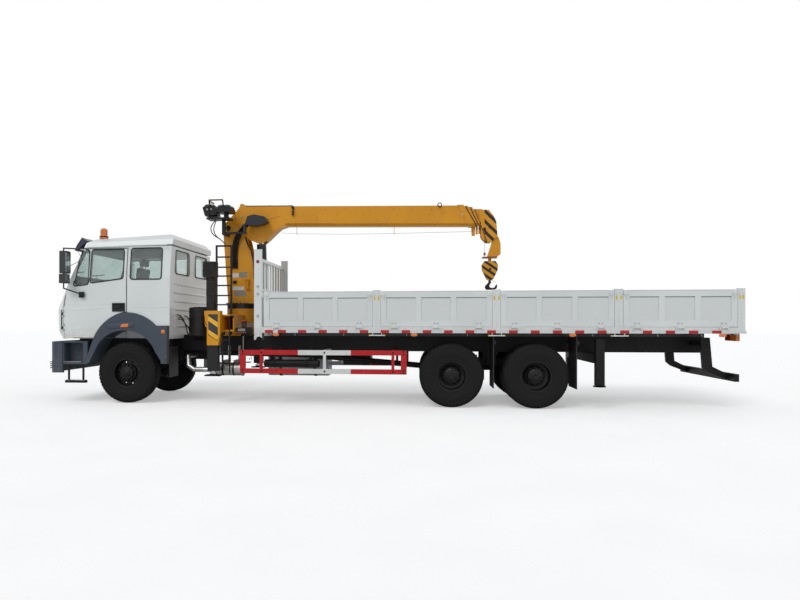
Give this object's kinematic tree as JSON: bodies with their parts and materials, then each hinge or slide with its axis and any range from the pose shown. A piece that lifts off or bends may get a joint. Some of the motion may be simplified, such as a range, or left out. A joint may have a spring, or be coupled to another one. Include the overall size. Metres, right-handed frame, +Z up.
{
  "type": "truck-mounted crane",
  "caption": "Cab-over three-axle truck with a telescopic crane behind the cab, outriggers and a drop-side flatbed; wheels, doors, drop sides, outriggers, boom and hook all move",
  "frame": {"origin": "on the ground under the middle of the overall length and width", "axes": "+X to the rear of the truck, -Y the truck's left side, +Z up"},
  "size_m": [12.36, 3.06, 3.853],
  "materials": {
    "chassis_black": "satin black chassis paint with road dust",
    "driveline_black": "black painted castings and forgings",
    "tyre": "black truck tread rubber",
    "rim_black": "black enamelled steel wheel",
    "cab_white": "cool white enamel",
    "window_glass": "lightly tinted safety glass",
    "slate_plastic": "moulded slate-blue grained plastic",
    "trim_black": "black moulded trim",
    "lamp_plastic": "amber and clear lamp lenses",
    "dash_plastic": "grey grained dashboard",
    "seat_fabric": "woven seat cloth",
    "exhaust_steel": "aluminised steel silencer",
    "guard_red": "red and white striped guard paint",
    "bed_white": "white enamel on pressed steel",
    "crane_yellow": "crane yellow enamel",
    "jack_steel": "ground and chromed jack steel",
    "ladder_black": "black painted tube",
    "cylinder_black": "dark cylinder enamel",
    "hook_black": "black forged hook"
  },
  "bodies": {
    "root": {"chassis_frame": "chassis_black", "driveline": "driveline_black", "cab_shell": "cab_white", "cab_glass": "window_glass", "fenders": "slate_plastic", "cab_trim": "trim_black", "lamps": "lamp_plastic", "cab_dash": "dash_plastic", "cab_seats": "seat_fabric", "tanks_intake": "chassis_black", "exhaust": "exhaust_steel", "side_guards": "guard_red", "bed_frame": "bed_white", "crane_base": "crane_yellow", "ladders_controls": "ladder_black"},
    "knuckle_left": {"knuckle_left": "driveline_black"},
    "front_wheel_left": {"front_tyre_left": "tyre", "front_rim_left": "rim_black"},
    "knuckle_right": {"knuckle_right": "driveline_black"},
    "front_wheel_right": {"front_tyre_right": "tyre", "front_rim_right": "rim_black"},
    "rear_wheels_1_left": {"rear_tyres_1_left": "tyre", "rear_rims_1_left": "rim_black"},
    "rear_wheels_1_right": {"rear_tyres_1_right": "tyre", "rear_rims_1_right": "rim_black"},
    "rear_wheels_2_left": {"rear_tyres_2_left": "tyre", "rear_rims_2_left": "rim_black"},
    "rear_wheels_2_right": {"rear_tyres_2_right": "tyre", "rear_rims_2_right": "rim_black"},
    "door_left": {"cab_door_left": "cab_white", "door_glass_left": "window_glass"},
    "side_left_1": {"drop_side_left_1": "bed_white"},
    "side_left_2": {"drop_side_left_2": "bed_white"},
    "side_left_3": {"drop_side_left_3": "bed_white"},
    "side_left_4": {"drop_side_left_4": "bed_white"},
    "outrigger_left": {"outrigger_beam_left": "crane_yellow"},
    "outrigger_left_foot": {"outrigger_foot_left": "jack_steel"},
    "rear_jack_left": {"rear_foot_left": "chassis_black"},
    "door_right": {"cab_door_right": "cab_white", "door_glass_right": "window_glass"},
    "side_right_1": {"drop_side_right_1": "bed_white"},
    "side_right_2": {"drop_side_right_2": "bed_white"},
    "side_right_3": {"drop_side_right_3": "bed_white"},
    "side_right_4": {"drop_side_right_4": "bed_white"},
    "outrigger_right": {"outrigger_beam_right": "crane_yellow"},
    "outrigger_right_foot": {"outrigger_foot_right": "jack_steel"},
    "rear_jack_right": {"rear_foot_right": "chassis_black"},
    "tailgate": {"tailgate": "bed_white"},
    "crane": {"crane_column": "crane_yellow", "operator_seat": "ladder_black"},
    "boom_1": {"boom_section_1": "crane_yellow"},
    "lift_barrel": {"lift_barrel": "cylinder_black"},
    "lift_rod": {"lift_rod": "jack_steel"},
    "boom_2": {"boom_section_2": "crane_yellow"},
    "boom_3": {"boom_section_3": "crane_yellow"},
    "boom_4": {"boom_section_4": "crane_yellow"},
    "stow_arm": {"stow_arm": "crane_yellow"},
    "hook_block": {"hook_block": "crane_yellow"},
    "hook": {"hook": "hook_black"}
  },
  "joints": [
    {"name": "steer_left", "type": "hinge", "parent": "root", "child": "knuckle_left", "pos_m": [-4.65, -0.8, 0.5625], "axis": [0, 0, 1], "range_deg": [-35, 35]},
    {"name": "front_wheel_spin_left", "type": "hinge", "parent": "knuckle_left", "child": "front_wheel_left", "pos_m": [-4.65, -1.05, 0.5625], "axis": [0, 1, 0], "continuous": true},
    {"name": "steer_right", "type": "hinge", "parent": "root", "child": "knuckle_right", "pos_m": [-4.65, 0.8, 0.5625], "axis": [0, 0, 1], "range_deg": [-35, 35]},
    {"name": "front_wheel_spin_right", "type": "hinge", "parent": "knuckle_right", "child": "front_wheel_right", "pos_m": [-4.65, 1.05, 0.5625], "axis": [0, 1, 0], "continuous": true},
    {"name": "rear_wheel_spin_1_left", "type": "hinge", "parent": "root", "child": "rear_wheels_1_left", "pos_m": [1.312, -1, 0.5625], "axis": [0, 1, 0], "continuous": true},
    {"name": "rear_wheel_spin_1_right", "type": "hinge", "parent": "root", "child": "rear_wheels_1_right", "pos_m": [1.312, 1, 0.5625], "axis": [0, 1, 0], "continuous": true},
    {"name": "rear_wheel_spin_2_left", "type": "hinge", "parent": "root", "child": "rear_wheels_2_left", "pos_m": [2.762, -1, 0.5625], "axis": [0, 1, 0], "continuous": true},
    {"name": "rear_wheel_spin_2_right", "type": "hinge", "parent": "root", "child": "rear_wheels_2_right", "pos_m": [2.762, 1, 0.5625], "axis": [0, 1, 0], "continuous": true},
    {"name": "door_left_hinge", "type": "hinge", "parent": "root", "child": "door_left", "pos_m": [-5.885, -1.226, 1.9], "axis": [0, 0, -1], "range_deg": [0, 65]},
    {"name": "side_left_1_hinge", "type": "hinge", "parent": "root", "child": "side_left_1", "pos_m": [0, -1.27, 1.416], "axis": [1, 0, 0], "range_deg": [0, 180]},
    {"name": "side_left_2_hinge", "type": "hinge", "parent": "root", "child": "side_left_2", "pos_m": [0, -1.27, 1.416], "axis": [1, 0, 0], "range_deg": [0, 180]},
    {"name": "side_left_3_hinge", "type": "hinge", "parent": "root", "child": "side_left_3", "pos_m": [0, -1.27, 1.416], "axis": [1, 0, 0], "range_deg": [0, 180]},
    {"name": "side_left_4_hinge", "type": "hinge", "parent": "root", "child": "side_left_4", "pos_m": [0, -1.27, 1.416], "axis": [1, 0, 0], "range_deg": [0, 180]},
    {"name": "outrigger_left_slide", "type": "slide", "parent": "root", "child": "outrigger_left", "axis": [0, -1, 0], "range_m": [0, 1.5]},
    {"name": "outrigger_left_jack", "type": "slide", "parent": "outrigger_left", "child": "outrigger_left_foot", "axis": [0, 0, -1], "range_m": [0, 0.51]},
    {"name": "rear_jack_left_slide", "type": "slide", "parent": "root", "child": "rear_jack_left", "axis": [0, 0, -1], "range_m": [0, 0.38]},
    {"name": "door_right_hinge", "type": "hinge", "parent": "root", "child": "door_right", "pos_m": [-5.885, 1.226, 1.9], "axis": [0, 0, 1], "range_deg": [0, 65]},
    {"name": "side_right_1_hinge", "type": "hinge", "parent": "root", "child": "side_right_1", "pos_m": [0, 1.27, 1.416], "axis": [-1, 0, 0], "range_deg": [0, 180]},
    {"name": "side_right_2_hinge", "type": "hinge", "parent": "root", "child": "side_right_2", "pos_m": [0, 1.27, 1.416], "axis": [-1, 0, 0], "range_deg": [0, 180]},
    {"name": "side_right_3_hinge", "type": "hinge", "parent": "root", "child": "side_right_3", "pos_m": [0, 1.27, 1.416], "axis": [-1, 0, 0], "range_deg": [0, 180]},
    {"name": "side_right_4_hinge", "type": "hinge", "parent": "root", "child": "side_right_4", "pos_m": [0, 1.27, 1.416], "axis": [-1, 0, 0], "range_deg": [0, 180]},
    {"name": "outrigger_right_slide", "type": "slide", "parent": "root", "child": "outrigger_right", "axis": [0, 1, 0], "range_m": [0, 1.5]},
    {"name": "outrigger_right_jack", "type": "slide", "parent": "outrigger_right", "child": "outrigger_right_foot", "axis": [0, 0, -1], "range_m": [0, 0.51]},
    {"name": "rear_jack_right_slide", "type": "slide", "parent": "root", "child": "rear_jack_right", "axis": [0, 0, -1], "range_m": [0, 0.38]},
    {"name": "tailgate_hinge", "type": "hinge", "parent": "root", "child": "tailgate", "pos_m": [6.166, 0, 1.416], "axis": [0, 1, 0], "range_deg": [0, 180]},
    {"name": "slew", "type": "hinge", "parent": "root", "child": "crane", "pos_m": [-2.76, 0, 1.8], "axis": [0, 0, 1], "continuous": true},
    {"name": "luff", "type": "hinge", "parent": "crane", "child": "boom_1", "pos_m": [-2.997, 0, 3.362], "axis": [0, -1, 0], "range_deg": [0, 75]},
    {"name": "lift_barrel_pivot", "type": "hinge", "parent": "crane", "child": "lift_barrel", "pos_m": [-2.34, 0, 2.05], "axis": [0, -1, 0], "range_deg": [0, 7.5]},
    {"name": "lift_rod_slide", "type": "slide", "parent": "lift_barrel", "child": "lift_rod", "axis": [-0.0315, 0, 0.9995], "range_m": [0, 0.775]},
    {"name": "telescope_2", "type": "slide", "parent": "boom_1", "child": "boom_2", "axis": [0.9999, 0, -0.0148], "range_m": [0, 3]},
    {"name": "telescope_3", "type": "slide", "parent": "boom_2", "child": "boom_3", "axis": [0.9999, 0, -0.0148], "range_m": [0, 3]},
    {"name": "telescope_4", "type": "slide", "parent": "boom_3", "child": "boom_4", "axis": [0.9999, 0, -0.0148], "range_m": [0, 3]},
    {"name": "stow_arm_hinge", "type": "hinge", "parent": "boom_4", "child": "stow_arm", "pos_m": [2.20035, 0, 3.14487], "axis": [0, -1, 0], "range_deg": [-10, 20]},
    {"name": "hook_block_swing", "type": "hinge", "parent": "stow_arm", "child": "hook_block", "pos_m": [2.092, 0, 2.695], "axis": [0, -1, 0], "range_deg": [-20, 20]},
    {"name": "hook_swivel", "type": "hinge", "parent": "hook_block", "child": "hook", "pos_m": [2.092, 0, 2.3], "axis": [0, 0, 1], "continuous": true}
  ],
  "couplings": [
    {"joint": "steer_right", "follows": "steer_left", "ratio": 1},
    {"joint": "lift_barrel_pivot", "follows": "luff", "ratio": 0.0987},
    {"joint": "lift_rod_slide", "follows": "luff", "m_per_rad": 0.5905},
    {"joint": "telescope_3", "follows": "telescope_2", "ratio": 1},
    {"joint": "telescope_4", "follows": "telescope_2", "ratio": 1}
  ]
}
